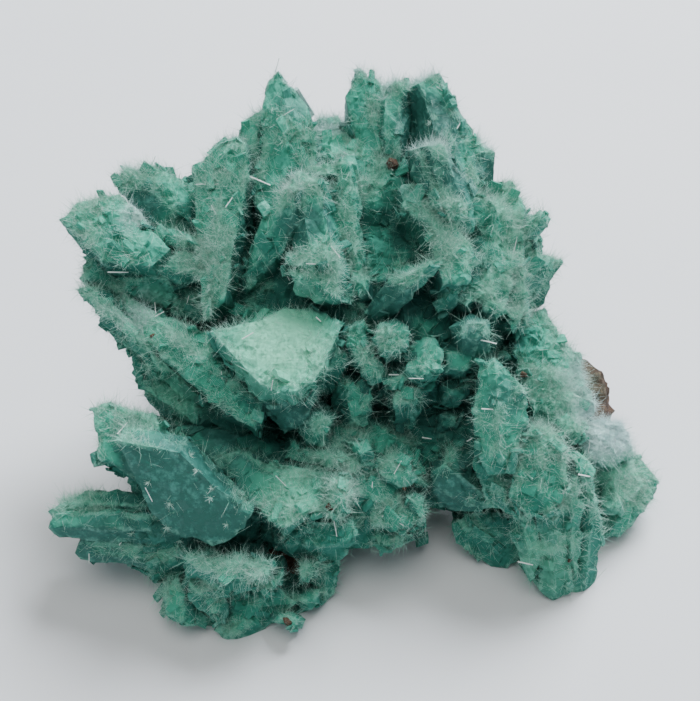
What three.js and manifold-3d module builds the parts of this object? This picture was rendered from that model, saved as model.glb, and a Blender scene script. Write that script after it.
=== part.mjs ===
// A hand specimen of kobyashevite: a fan of bladed green crystals grown together on a brown matrix.
// It rests on the flat-broken underside of the matrix and on the tips of its two front legs.
// Units are millimetres, +Z is up, and the origin is the middle of the base of its bounding box.
import * as THREE from "three";
import { mergeVertices } from "three/addons/utils/BufferGeometryUtils.js";
import Module from "manifold-3d";

const wasm = await Module();
wasm.setup();

// The big crystals are laid out as one person sees them, looking down at the specimen from the front.
// A place is [across, up, near]: across and up are measured in mm on the plane through SIGHT_CENTRE that
// faces the eye, and near is how many mm the place stands in front of that plane.
const SIGHT_CENTRE = new THREE.Vector3(-2.5, 3, 22.4);
const SIGHT_DISTANCE = 165;
const SIGHT_TILT = THREE.MathUtils.degToRad(45);

// Sizes that all crystals share.
const RIDGE_HEIGHT = 1.1;
const RIDGE_SHARE = 0.8;
const CLEARANCE = 0.5;
const GROUND_DEPTH = 60;
const GROUND_WIDTH = 300;
const SEED = 20417;

const ACROSS = new THREE.Vector3(1, 0, 0);
const UP = new THREE.Vector3(0, Math.sin(SIGHT_TILT), Math.cos(SIGHT_TILT));
const NEAR = new THREE.Vector3(0, -Math.cos(SIGHT_TILT), Math.sin(SIGHT_TILT));

// The upper left fan: broad plates that point left, one over another.
const LEFT_FAN = [
  { near: 10, lean: [0.1, -0.45], deep: 4, outline: [
    [-48.3, 21.8], [-45.5, 24.6], [-38.5, 26.4], [-30, 17], [-33, 14], [-41, 14.6],
  ] },
  { near: 4, lean: [0.1, -0.1], deep: 4, outline: [
    [-39.4, 28.6], [-37, 30.4], [-35, 29.6], [-32.5, 31], [-24, 26], [-25, 20], [-31, 19],
    [-36, 22.5],
  ] },
  { near: 6.5, lean: [0.25, -0.2], deep: 4, outline: [
    [-44.2, 15.6], [-44.4, 12], [-33, 6.6], [-25, 5], [-22, 9], [-24, 13],
  ] },
  { near: 11, lean: [0.2, 0.2], deep: 4, outline: [
    [-33.8, 13.8], [-28.5, 16.4], [-24, 15.8], [-24, 11.4], [-28.5, 10.7],
  ] },
  { near: 10, lean: [0.2, -0.6], deep: 4, outline: [
    [-34, 19.6], [-30, 20.4], [-25, 18.6], [-24, 16.4], [-31, 17.6],
  ] },
];

// The long ribbed blade below the fan: three layers that run down to the right.
const RIBBED_BLADE = [
  { near: 14, lean: [0.1, -0.4], deep: 5, outline: [
    [-41.5, 8.6], [-38.6, 10.2], [-31, 5.6], [-21, 2], [-17, -3], [-14.5, -9], [-16, -13],
    [-22, -9.5],
  ] },
  { near: 11.5, lean: [0.1, 0.1], deep: 5, outline: [
    [-45.9, 10.3], [-42, 10.2], [-22, -8], [-15, -12.4], [-19, -14.2], [-26, -10.4],
  ] },
  { near: 8.5, lean: [0.2, 0.3], deep: 5, outline: [
    [-38.6, 2.8], [-35, 2], [-21, -10], [-14, -13.4], [-19, -16], [-26.6, -14.6], [-34.2, -6.8],
  ] },
];

// The pale smooth shield in the middle and the flank under it.
const SHIELD = [
  { near: 20, lean: [-0.1, -0.55], deep: 5, ridge: 0.3, outline: [
    [-23.5, 3.4], [-15, 5], [-11, 7], [-6, 7.3], [-1.2, 4.4], [-5.6, -4.6], [-8, -6.4], [-12, -6.9],
    [-15, -5.6],
  ] },
  { near: 17, lean: [0.1, 0.7], deep: 5, outline: [
    [-15.8, -7.6], [-12, -5.5], [-7.4, -6], [-6, -9], [-7.6, -12.4], [-11, -14.2],
  ] },
  { near: 14.5, lean: [0.2, 0.2], deep: 5, outline: [
    [-8, -10], [-5.4, -10], [-3.2, -12], [-4.4, -15.8], [-7.2, -15.6], [-9, -13],
  ] },
];

// The standing crystals along the top, from left to right.
const TOP_ROW = [
  { near: 8, lean: [0.2, -0.1], deep: 7, outline: [
    [-17.4, 38.8], [-14.6, 40.2], [-12, 40], [-12, 30], [-17, 28], [-20.5, 32],
  ] },
  { near: 12, lean: [0.35, -0.15], deep: 7, outline: [
    [-26.2, 30.8], [-19.5, 35.4], [-17.6, 34.6], [-17.2, 29], [-21, 8], [-24.6, 5],
  ] },
  { near: 11, lean: [0.05, -0.12], deep: 7, outline: [
    [-13.9, 45], [-12, 46.3], [-7, 40.6], [-5.6, 33], [-6, 26], [-8, 20], [-14, 19], [-16, 26],
  ] },
  { near: 17, lean: [0.45, -0.1], deep: 7, outline: [
    [-10.6, 28], [-8.6, 29.8], [-5.6, 28.6], [-2.4, 14], [-2.4, 8.6], [-6, 8], [-9.4, 12],
  ] },
  { near: 15, lean: [0.7, 0.1], deep: 7, outline: [
    [-9.4, 27.4], [-9.4, 21], [-11, 17], [-17.4, 9.2], [-19.2, 10.6], [-12.6, 26],
  ] },
  { near: 18.5, lean: [0.3, 0.2], deep: 7, outline: [
    [-10.6, 15], [-4.4, 17.8], [-2.8, 15], [-4, 12], [-8, 12.8],
  ] },
  { near: 18, lean: [-0.1, 0.4], deep: 7, outline: [
    [-10.2, 13], [-6, 13.2], [-4.6, 10.2], [-6.4, 8.6], [-9, 9.4],
  ] },
  { near: -2, lean: [0, -0.1], deep: 7, outline: [
    [-6.6, 37], [-5, 38.9], [-0.2, 38.4], [1.6, 32], [0, 26], [-3, 22], [-6.6, 28],
  ] },
  { near: 12.5, lean: [-0.35, -0.1], deep: 7, outline: [
    [-2.1, 31.4], [-0.6, 33.2], [1, 33], [2.6, 11], [0.4, 7], [-2.4, 10],
  ] },
  { near: 7.5, lean: [-0.05, -0.12], deep: 7, outline: [
    [-0.7, 42.4], [1.6, 46.7], [5.1, 44.7], [8.4, 36], [9, 31], [8, 26], [4, 23], [2, 27],
  ] },
  { near: 8.5, lean: [-0.5, -0.1], deep: 7, outline: [
    [5.8, 42], [7.6, 44.6], [9.4, 45], [10.4, 38], [8, 29], [6, 34],
  ] },
  { near: 9, lean: [0.55, -0.1], deep: 7, outline: [
    [9.5, 43], [10.6, 44.6], [12.4, 44.6], [17.2, 35], [18.6, 29], [18, 23], [14, 23], [11.4, 30],
  ] },
  { near: 8, lean: [-0.6, -0.15], deep: 7, outline: [
    [11.4, 44.6], [14.6, 45.9], [21.6, 34.6], [22.6, 30], [21, 24], [17.6, 26],
  ] },
  { near: 5.5, lean: [-0.15, 0.35], deep: 7, outline: [
    [19.6, 33.6], [21.4, 34.6], [24.1, 33], [23.6, 26], [20, 24], [18.4, 29],
  ] },
  { near: 15, lean: [0.6, 0.1], deep: 7, outline: [
    [9.9, 29.4], [11, 32.6], [13, 34.3], [14.4, 33.6], [17.4, 22], [14, 21.6],
  ] },
  { near: 15.2, lean: [-0.5, 0.05], deep: 7, outline: [
    [13, 34.2], [15.2, 34.1], [20.8, 26.4], [20.4, 20], [16.6, 19.6],
  ] },
  { near: 15.5, lean: [-0.2, -0.35], deep: 7, outline: [
    [8.2, 27.6], [11.6, 28], [20.4, 17], [19.6, 11], [15.6, 11], [12.2, 21], [9, 24],
  ] },
  { near: 8, lean: [0.35, 0.35], deep: 7, outline: [
    [1.8, 30], [6, 28], [14, 21], [14, 15.6], [9, 13.4], [4, 14], [1.8, 19],
  ] },
];

// The right shoulder, edge on to the eye, down to the broken rim of the matrix.
const RIGHT_SHOULDER = [
  { near: 9.5, lean: [0.3, -0.3], deep: 6, outline: [
    [21.6, 26.6], [25.4, 28], [28.8, 24.6], [29, 7], [27, 3.6], [24.6, 8], [26, 20], [21.6, 23],
  ] },
  { near: 3.5, lean: [-0.4, -0.1], deep: 6, outline: [
    [28.4, 21.6], [29.9, 21], [32.3, 16.6], [32, 11], [30, 6], [27.4, 9],
  ] },
  { near: 2.2, lean: [-0.1, 0.25], deep: 6, outline: [
    [28.6, 15.4], [34.9, 14.9], [32.2, 8], [29, 6], [26.6, 10],
  ] },
  { near: 12, lean: [0.1, -0.35], deep: 6, outline: [
    [20, 19], [26, 19.4], [27.2, 14], [26.2, 8], [24.2, 6], [18.2, 10], [17.4, 13.6],
  ] },
  { near: 9.4, lean: [0.3, 0.3], deep: 6, outline: [
    [19, 26], [22, 25.4], [26, 19], [23, 16.6], [19.6, 18], [18, 22],
  ] },
  { near: 5.5, lean: [-0.35, -0.3], deep: 6, outline: [
    [28.6, 6.4], [31.9, 6.6], [37.8, -1.2], [40.4, -11.6], [36, -14], [31, -12], [27, 0],
  ] },
];

// Small plates and knobs of the middle, each on its own lean.
const MIDDLE = [
  { near: 16, lean: [0.3, 0.45], deep: 6, outline: [
    [1.6, 5.4], [6.2, 11.8], [13.3, 13.9], [12.6, 11.4], [8, 6.4], [4.4, 4.3],
  ] },
  { near: 14.5, lean: [0.3, 0.5], deep: 6, outline: [
    [14, 9], [15.8, 11.7], [18.2, 10], [17.7, 7.4], [15, 6], [13.8, 7],
  ] },
  { near: 15.5, lean: [0.1, -0.9], deep: 6, outline: [
    [16.4, 3.9], [20, 6.3], [23, 5.3], [23.2, 2.9], [21, 1.6], [18.6, 2],
  ] },
  { near: 14, lean: [-0.2, -0.5], deep: 6, outline: [
    [22, 8.8], [24.6, 8.4], [26.2, 6.3], [24.4, 5.4], [22, 6.6],
  ] },
  { near: 17, lean: [0.1, -0.5], deep: 6, outline: [
    [3.8, 2], [4.9, 4.6], [7.5, 5.3], [9.7, 4], [10.1, 1.8], [8.4, 0.2], [5.8, 0],
  ] },
  { near: 16, lean: [-0.1, -0.4], deep: 6, outline: [
    [9.3, -0.2], [10.8, 2], [13.5, 2.6], [15.3, 0], [15.2, -3.2], [12, -4.8], [9.3, -3.2],
  ] },
  { near: 14.6, lean: [0.5, 0.3], deep: 6, outline: [
    [-1.8, 3.6], [1, 4], [6.1, -5.7], [3, -5.4], [0.2, -2],
  ] },
  { near: 14, lean: [0.1, -0.7], deep: 6, outline: [
    [6.8, -5.4], [10, -5.3], [11.7, -6.5], [10.6, -8.6], [7.3, -8.9],
  ] },
  { near: 13.4, lean: [0, -0.5], deep: 6, outline: [
    [14.8, 0], [18, 1.7], [21.6, 1.1], [22.7, -1.2], [19, -3.4], [15.8, -2.8],
  ] },
  { near: 11.4, lean: [-0.2, -0.3], deep: 6, outline: [
    [15.3, -5.4], [19, -4.3], [21, -6], [18.7, -8.2], [15.8, -8.2],
  ] },
  { near: 8, lean: [0, -0.6], deep: 6, outline: [
    [14, -11], [16, -9.3], [18.3, -11], [17.7, -12.6], [14.9, -12.7],
  ] },
  { near: 12, lean: [0.2, 0.3], deep: 6, outline: [
    [-2.4, -4.6], [2, -4.8], [3.7, -8], [2.7, -12.7], [-1, -13.2], [-3.2, -9],
  ] },
  { near: 13.5, lean: [0.4, -0.5], deep: 6, outline: [
    [-0.4, 9], [3, 9.4], [3.4, 12], [0.6, 14], [-2, 12],
  ] },
];

// The lower left: a thick smooth blade over a stack of stepped plates, the pale ledge and the front leg.
const LOWER_LEFT = [
  { near: 21.5, lean: [0.05, 0.28], deep: 6, ridge: 0.4, outline: [
    [-38.9, -14.9], [-28.4, -17], [-23, -22.4], [-16.2, -27], [-19, -31], [-23, -32.4],
    [-30, -30.1], [-33, -27.1],
  ] },
  { near: 17.5, lean: [0.05, -0.3], deep: 6, outline: [
    [-43, -9.8], [-40.6, -8.5], [-33.5, -10.2], [-31, -13], [-24.6, -16.8], [-17, -24.5],
    [-20, -28], [-28, -26], [-42.2, -17.8],
  ] },
  { near: 13.5, lean: [0.05, -0.5], deep: 6, outline: [
    [-50.4, -26.6], [-44, -23.5], [-38, -23.3], [-30, -25], [-28, -29], [-36, -27.6], [-49.4, -27.8],
  ] },
  { near: 14.5, lean: [0.02, 0.35], deep: 6, outline: [
    [-49.3, -27.6], [-49.9, -29.4], [-48.4, -31.1], [-28, -33], [-25, -30], [-30, -27.5],
    [-40, -26.8],
  ] },
  { near: 12.4, lean: [0.02, 0.3], deep: 6, outline: [
    [-44.6, -31], [-46.1, -33.8], [-45, -34.9], [-33.2, -36], [-32.8, -37.6], [-30.6, -37.9],
    [-26, -36], [-25, -31], [-38, -30],
  ] },
  { near: 19, lean: [0, -0.75], deep: 6, outline: [
    [-28.1, -34], [-26, -32.9], [-13.2, -35], [-13.8, -37.3], [-20.5, -37.9], [-27.6, -35.7],
  ] },
  { near: 16, lean: [0.05, 0.35], deep: 6, outline: [
    [-24, -36.5], [-11.6, -37.4], [-11, -39.4], [-16, -40], [-21, -39.2],
  ] },
  { near: 16.5, lean: [-0.1, -0.5], deep: 6, outline: [
    [-23, -18], [-18, -16.3], [-14, -18.4], [-0.8, -20.6], [0.2, -23], [-1, -27.2], [-4, -26.4],
    [-8, -27.2], [-11, -29.8], [-20.4, -22],
  ] },
  { near: 18.4, lean: [-0.2, -0.3], deep: 6, outline: [
    [-3.7, -21.3], [-0.2, -20.7], [0.1, -23.5], [-1.5, -27.7], [-2.9, -26.5],
  ] },
  { near: 13.5, lean: [0.05, -0.45], deep: 6, outline: [
    [-10, -14.8], [2, -16.8], [4.2, -19], [0, -20.4], [-11, -18],
  ] },
  { near: 13, lean: [0.1, 0.5], deep: 6, outline: [
    [-14, -28], [0, -29], [1.4, -31], [-1.4, -34.6], [-7, -35], [-12.6, -33.6], [-15, -31],
  ] },
  { near: 13, lean: [-0.2, -0.35], deep: 6, outline: [
    [2.8, -17.4], [7.5, -16.8], [9.7, -18.4], [11.2, -21.4], [9, -23], [5.6, -21.4],
  ] },
  { near: 11.4, lean: [0.05, -0.45], deep: 6, outline: [
    [0.8, -23.8], [9, -23.6], [12.6, -25], [12.2, -28.4], [8, -29.8], [3, -28.6],
  ] },
  { near: 12.6, lean: [-0.3, 0.2], deep: 6, outline: [
    [9.4, -24.3], [12.5, -24.7], [12, -28.4], [9.8, -26.4],
  ] },
  { near: 10, lean: [0.1, -0.4], deep: 6, outline: [
    [0.8, -29.6], [5, -29.1], [8, -30.2], [11.6, -30.2], [8, -31.4], [6.4, -32.8],
  ] },
];

const FRONT_LEG = [
  { near: 11.6, lean: [0.1, 0.25], deep: 5.5, outline: [
    [-30.6, -37.6], [-26, -36.8], [-12, -39.4], [-9, -42], [-17, -48.6], [-26, -47.6], [-29.6, -45],
    [-31, -41],
  ] },
  { near: 13.4, lean: [0.8, -0.2], deep: 5.5, outline: [
    [-31.2, -38.4], [-28.6, -37.6], [-27.6, -41], [-27.8, -45.6], [-30, -45], [-31.3, -42],
  ] },
  { near: 15, lean: [-0.15, 0.2], deep: 5.5, outline: [
    [-27, -38.6], [-22, -38.8], [-20.4, -42], [-20.8, -45.6], [-26.6, -42],
  ] },
  { near: 12.2, lean: [-0.2, 0.1], deep: 5.5, outline: [
    [-20.2, -43.8], [-17, -42.6], [-14.4, -43.6], [-14, -46.4], [-17.4, -49], [-20.6, -48.6],
    [-22.6, -46.6],
  ] },
  { near: 10.4, lean: [0.1, 0.3], deep: 5.5, outline: [
    [-28.2, -46], [-19.6, -47.3], [-20, -48.7], [-25, -48.6], [-27.7, -47.4],
  ] },
  { near: 13, lean: [0.5, 0.1], deep: 5.5, outline: [
    [-8.8, -34.8], [-6.3, -35.6], [-6.8, -38.4], [-8.4, -38],
  ] },
  { near: 11.4, lean: [0.1, -0.1], deep: 5.5, outline: [
    [-9.4, -39.8], [-5, -39.6], [-4.8, -42.4], [-8, -43.3], [-10, -42],
  ] },
  { near: 9.4, lean: [-0.3, 0.2], deep: 5.5, outline: [
    [-6, -34], [-1.8, -34.6], [-2.6, -40.6], [-4.8, -42.6], [-6.4, -39],
  ] },
];

// The long upright blades on the right and the foot they fan down into.
const RIGHT_LEG = [
  { near: 17, lean: [0.1, 0.05], deep: 6, outline: [
    [21.8, -2.6], [24, -1.7], [29.4, -7], [29.6, -11], [26.8, -20], [23, -21], [21, -15.4],
    [20.6, -9.5],
  ] },
  { near: 16, lean: [0.05, 0], deep: 6, outline: [
    [27.8, -15.4], [30.4, -12.8], [33.2, -13.4], [35.6, -17], [36.4, -22], [34.4, -27], [30, -28],
    [26.8, -24.4],
  ] },
  { near: 12.4, lean: [0.3, 0.35], deep: 6, outline: [
    [26.6, -21], [29.4, -22], [32.2, -34], [30, -38.9], [26.8, -30],
  ] },
  { near: 11.4, lean: [-0.1, 0.42], deep: 6, outline: [
    [30.8, -26], [37, -23.6], [36.8, -40], [33.8, -41.8], [31.4, -39.8], [31.8, -31],
  ] },
  { near: 9.6, lean: [-0.35, 0.42], deep: 6, outline: [
    [38.4, -19.2], [40.1, -19.2], [42.3, -31], [40.6, -39.4], [38.4, -41.4], [35.4, -41.6],
    [37.8, -31],
  ] },
  { near: 13, lean: [0.3, 0.4], deep: 6, outline: [
    [34.3, -23.6], [37.6, -21.4], [38.9, -26], [37.6, -37.4], [35.8, -33.4],
  ] },
  { near: 5.5, lean: [0.2, 0.45], deep: 6, outline: [
    [17.1, -29], [19.6, -27], [28, -27], [28.6, -33.6], [26.2, -36.3], [23.5, -36], [17.8, -32],
  ] },
  { near: 9.4, lean: [0.3, 0.6], deep: 6, outline: [
    [13.3, -20.6], [15.5, -18.8], [24.6, -25.6], [20, -27.2], [15, -26], [12.6, -23],
  ] },
  { near: 13, lean: [0.3, 0.1], deep: 6, outline: [
    [20.6, -16], [24.6, -17], [27.4, -21], [27, -27], [23, -25.6], [21, -21],
  ] },
  { near: 1.5, lean: [-0.15, -0.1], deep: 6, outline: [
    [40.6, -20], [43.6, -17], [47, -16.6], [51.4, -21.8], [49.6, -26.3], [45.4, -30.9], [42, -31.4],
    [40.6, -28],
  ] },
  { near: 4, lean: [-0.1, -0.4], deep: 6, outline: [
    [41.8, -20.4], [44.6, -20], [45.6, -24], [44.6, -27], [42, -26.6],
  ] },
  { near: 4.4, lean: [-0.2, -0.5], deep: 6, outline: [
    [36.6, -13.4], [39, -11.2], [45, -12], [47.2, -17.6], [43.6, -19.4], [39.4, -18],
  ] },
];

// Rounded masses behind the plates, which join them all: a centre [across, up, near] and three half sizes.
const MASSES = [
  { at: [-2, 9, 0], half: [25, 19, 13], plates: 2, hind: 3 },
  { at: [-2, 25, 1], half: [24, 12, 10], plates: 1, hind: 7 },
  { at: [11, 32, 2], half: [9.5, 10.5, 6.5], plates: 0, hind: 1 },
  { at: [-31, 12, 3], half: [13, 9, 7], plates: 0, hind: 2 },
  { at: [-11, -1, 7], half: [12, 9, 12], plates: 0, hind: 0 },
  { at: [8, 2, 3], half: [17, 13, 11], plates: 5, hind: 0 },
  { at: [-24, -6, 4], half: [11, 10, 9], plates: 1, hind: 1 },
  { at: [-22, -22, 7], half: [14, 11, 10], plates: 0, hind: 0 },
  { at: [-25, -32, 6], half: [13, 6, 8], plates: 1, hind: 0 },
  { at: [-17, -41, 5], half: [12, 7, 8], plates: 2, hind: 0 },
  { at: [-1, -21, 5], half: [15, 12, 9], plates: 4, hind: 0 },
  { at: [14, -15, 1], half: [13, 12, 7], plates: 4, hind: 0 },
  { at: [22.5, 14, 1], half: [9.6, 15.5, 11.5], plates: 2, hind: 2 },
  { at: [31, -9, 1], half: [10.5, 11.5, 8], plates: 3, hind: 0 },
  { at: [33, -28, 4], half: [7, 12, 6], plates: 0, hind: 0 },
  { at: [43, -22, 0], half: [6, 7, 5], plates: 0, hind: 0 },
];

// Blades that stand on the masses: small ones in front, larger ones behind, where only their size is known.
// Each has a range for every size, how far it sits in, how wildly it leans, and the range of its direction
// towards the eye, from -1 straight behind to 1 straight in front.
const SMALL_PLATE = {
  long: [2.5, 4.5],
  wide: [2.4, 4.4],
  thick: [1.2, 2.2],
  sunk: 1.8,
  spread: 0.8,
  facing: [0, 1],
};
const HIND_BLADE = {
  long: [6, 10],
  wide: [4.5, 7.5],
  thick: [2, 3.4],
  sunk: 3,
  spread: 0.5,
  facing: [-0.85, -0.45],
};

// The brown matrix in the part's own frame: broken blocks, each a centre and three half sizes.
// The widest blocks and masses have more faces than the others.
const MATRIX_BLOCKS = [
  { at: [-9, 17, 12], half: [24, 15, 17] },
  { at: [13, 17, 11], half: [19, 14, 15] },
  { at: [33.5, 4.5, 6.5], half: [13.2, 12.5, 12] },
  { at: [-20, -5, 5], half: [13, 19, 8] },
  { at: [-17, -21, 2.5], half: [11, 8, 5.5] },
  { at: [3, -4, 4], half: [15, 11, 11] },
  { at: [-24, 22, 7], half: [11, 10, 11] },
  { at: [-12, 27, 17], half: [10, 9, 13] },
  { at: [4, 26, 9], half: [13, 10, 13] },
  { at: [19, 25, 15], half: [11, 9, 12] },
  { at: [30, 15, 6], half: [11, 10, 9] },
  { at: [-31, 6, 4], half: [8, 10, 8] },
];
const MATRIX_ROUGHNESS = 0.17;
const MASS_ROUGHNESS = 0.09;
const WIDE_LUMP = 11.9;
const WIDE_BLOCK = 18;

// A repeatable source of chance between 0 and 1.
function chance(seed) {
  let state = seed;
  return () => {
    state = (state * 1664525 + 1013904223) % 4294967296;
    return state / 4294967296;
  };
}

const draw = chance(SEED);
const between = ([low, high]) => low + (high - low) * draw();

// The place in the part's frame of a place given as the eye sees it.
function seen(across, up, near) {
  const shrink = 1 - near / SIGHT_DISTANCE;
  return SIGHT_CENTRE.clone()
    .addScaledVector(ACROSS, across * shrink)
    .addScaledVector(UP, up * shrink)
    .addScaledVector(NEAR, near);
}

// A closed solid from a merged, indexed geometry.
function solidOf(geometry) {
  return new wasm.Manifold(new wasm.Mesh({
    numProp: 3,
    vertProperties: new Float32Array(geometry.getAttribute("position").array),
    triVerts: new Uint32Array(geometry.index.array),
  }));
}

// The faces of a low roof over an outline: each edge rises to the nearer end of a two-point ridge.
// The ridge's ends are numbered after the outline's points.
function roofFaces(outline, ends) {
  const count = outline.length;
  const along = ends[1].clone().sub(ends[0]);
  const middle = ends[0].clone().add(ends[1]).multiplyScalar(0.5);
  const end = outline.map((p, i) => {
    const edgeMiddle = p.clone().add(outline[(i + 1) % count]).multiplyScalar(0.5);
    return count + (edgeMiddle.sub(middle).dot(along) > 0 ? 1 : 0);
  });
  return outline.flatMap((_, i) => {
    const before = end[(i + count - 1) % count];
    const side = [i, (i + 1) % count, end[i]];
    return before === end[i] ? [side] : [side, [i, end[i], before]];
  });
}

// True where every face of a flat layout turns the same way, so that the layout doesn't fold over itself.
function unfolded(faces, layout) {
  return faces.every(([a, b, c]) => {
    const [p, q, r] = [layout[a], layout[b], layout[c]];
    return (q.x - p.x) * (r.y - p.y) - (q.y - p.y) * (r.x - p.x) > 1e-6;
  });
}

// The two ends of the ridge line along the longer way of an outline.
function ridgeEnds(outline) {
  const middle = outline.reduce((sum, p) => sum.add(p), new THREE.Vector2()).divideScalar(outline.length);
  let [xx, yy, xy] = [0, 0, 0];
  for (const p of outline) {
    const [dx, dy] = [p.x - middle.x, p.y - middle.y];
    xx += dx * dx;
    yy += dy * dy;
    xy += dx * dy;
  }
  const turn = 0.5 * Math.atan2(2 * xy, xx - yy);
  const reach = RIDGE_SHARE * Math.sqrt(Math.max(xx, yy) / outline.length);
  const half = new THREE.Vector2(Math.cos(turn), Math.sin(turn)).multiplyScalar(reach);
  return [middle.clone().sub(half), middle.clone().add(half)];
}

// A crystal between a front outline, which may be roofed, and the same outline further back.
function prism(front, back, outline, ends, ridge) {
  const count = outline.length;
  const roof = roofFaces(outline, ends);
  const roofed = unfolded(roof, [...outline, ...ends]);
  const flat = THREE.ShapeUtils.triangulateShape(outline, []);
  const tops = roofed ? [...front, ...ridge] : front;
  const faces = (roofed ? roof : flat).flat();
  for (const [a, b, c] of flat) {
    faces.push(tops.length + a, tops.length + c, tops.length + b);
  }
  for (let i = 0; i < count; i++) {
    const next = (i + 1) % count;
    faces.push(i, tops.length + i, next, next, tops.length + i, tops.length + next);
  }
  const geometry = new THREE.BufferGeometry();
  const positions = [...tops, ...back].flatMap((p) => [p.x, p.y, p.z]);
  geometry.setAttribute("position", new THREE.Float32BufferAttribute(positions, 3));
  geometry.setIndex(faces);
  return solidOf(geometry);
}

// A plate whose outline is given as the eye sees it, on a plane that leans towards or away from the eye.
function plate({ outline, near, lean, deep, ridge = RIDGE_HEIGHT }) {
  const flat = outline.map(([across, up]) => new THREE.Vector2(across, up));
  if (THREE.ShapeUtils.isClockWise(flat)) flat.reverse();
  const ends = ridgeEnds(flat);
  const middle = ends[0].clone().add(ends[1]).multiplyScalar(0.5);
  const [rightward, upward] = lean;
  const scale = 1 - near / SIGHT_DISTANCE;
  const start = near - (rightward * middle.x + upward * middle.y) * scale;
  const onPlane = (p) => {
    const slope = rightward * p.x + upward * p.y;
    return seen(p.x, p.y, (start + slope) / (1 + slope / SIGHT_DISTANCE));
  };
  const normal = NEAR.clone().addScaledVector(ACROSS, -rightward).addScaledVector(UP, -upward).normalize();
  const raised = (p, height) => p.clone().addScaledVector(normal, height);
  const front = flat.map(onPlane);
  return prism(
    front,
    front.map((p) => raised(p, -deep)),
    flat,
    ends,
    ends.map((p) => raised(onPlane(p), ridge)),
  );
}

// A small blade that stands along a direction: a five-sided table with a slanting tip.
function smallBlade(foot, along, facing, long, wide, thick) {
  const side = along.clone().cross(facing).normalize();
  const normal = side.clone().cross(along).normalize();
  const flat = [[-0.5, 0], [0.5, 0], [0.55, 0.7], [0.1, 1], [-0.5, 0.75]]
    .map(([w, l]) => new THREE.Vector2(w * wide, l * long));
  const onPlane = (p, height) => (
    foot.clone().addScaledVector(side, p.x).addScaledVector(along, p.y).addScaledVector(normal, height)
  );
  const ends = [new THREE.Vector2(0, 0.3 * long), new THREE.Vector2(0, 0.6 * long)];
  return prism(
    flat.map((p) => onPlane(p, thick / 2)),
    flat.map((p) => onPlane(p, -thick / 2)),
    flat,
    ends,
    ends.map((p) => onPlane(p, 0.8 * thick)),
  );
}

// A lumpy ball with its surface moved in and out by chance, stretched to three half sizes.
function lump(centre, half, axes, { roughness, grow, detail, turn, random }) {
  const ball = new THREE.IcosahedronGeometry(1, detail);
  ball.rotateX(turn);
  ball.rotateZ(turn);
  ball.deleteAttribute("normal");
  ball.deleteAttribute("uv");
  const geometry = mergeVertices(ball, 1e-4);
  const position = geometry.getAttribute("position");
  for (let i = 0; i < position.count; i++) {
    const reach = 1 + roughness * (2 * random() - 1);
    const direction = new THREE.Vector3().fromBufferAttribute(position, i);
    const point = centre.clone();
    axes.forEach((axis, k) => {
      point.addScaledVector(axis, direction.getComponent(k) * (half[k] * reach + grow));
    });
    position.setXYZ(i, point.x, point.y, point.z);
  }
  return solidOf(geometry);
}

// The blades of one kind on one mass, each standing outwards on a lean of its own.
function bladesOn({ at, half }, kind, count) {
  const centre = seen(...at);
  return Array.from({ length: count }, () => {
    const height = between(kind.facing);
    const angle = 2 * Math.PI * draw();
    const ring = Math.sqrt(1 - height * height);
    const direction = [ring * Math.cos(angle), ring * Math.sin(angle), height];
    const foot = centre.clone();
    const outward = new THREE.Vector3();
    [ACROSS, UP, NEAR].forEach((axis, k) => {
      foot.addScaledVector(axis, direction[k] * (half[k] - kind.sunk));
      outward.addScaledVector(axis, direction[k] / half[k]);
    });
    const wild = () => new THREE.Vector3(draw() - 0.5, draw() - 0.5, draw() - 0.5);
    const along = outward.normalize().addScaledVector(wild(), kind.spread).normalize();
    const facing = wild().cross(along).normalize();
    const long = between(kind.long) + kind.sunk;
    return smallBlade(foot, along, facing, long, between(kind.wide), between(kind.thick));
  });
}

const joined = (solids) => wasm.Manifold.union(solids);
const largest = (solid) => solid.decompose().reduce((a, b) => (a.volume() > b.volume() ? a : b));

// Everything under the surface that the specimen stands on.
function ground() {
  const box = new THREE.BoxGeometry(GROUND_WIDTH, GROUND_WIDTH, GROUND_DEPTH);
  box.translate(0, 0, -GROUND_DEPTH / 2);
  box.deleteAttribute("normal");
  box.deleteAttribute("uv");
  return solidOf(mergeVertices(box));
}

function matrixSolid(grow) {
  const random = chance(SEED + 1);
  const axes = [new THREE.Vector3(1, 0, 0), new THREE.Vector3(0, 1, 0), new THREE.Vector3(0, 0, 1)];
  return joined(MATRIX_BLOCKS.map(({ at, half }) => (
    lump(new THREE.Vector3(...at), half, axes, {
      roughness: MATRIX_ROUGHNESS,
      grow,
      detail: half[0] > WIDE_BLOCK ? 1 : 0,
      turn: 2 * Math.PI * random(),
      random,
    })
  )));
}

function clusterSolid() {
  const random = chance(SEED + 2);
  const masses = MASSES.map(({ at, half }) => (
    lump(seen(...at), half, [ACROSS, UP, NEAR], {
      roughness: MASS_ROUGHNESS,
      grow: 0,
      detail: half[0] > WIDE_LUMP ? 1 : 0,
      turn: 0,
      random,
    })
  ));
  const upper = [...LEFT_FAN, ...RIBBED_BLADE, ...SHIELD, ...TOP_ROW, ...RIGHT_SHOULDER];
  const lower = [...MIDDLE, ...LOWER_LEFT, ...FRONT_LEG, ...RIGHT_LEG];
  const placed = [...upper, ...lower].map(plate);
  const standing = MASSES.flatMap((mass) => [
    ...bladesOn(mass, SMALL_PLATE, mass.plates),
    ...bladesOn(mass, HIND_BLADE, mass.hind),
  ]);
  return joined([...masses, ...placed, ...standing]);
}

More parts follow.
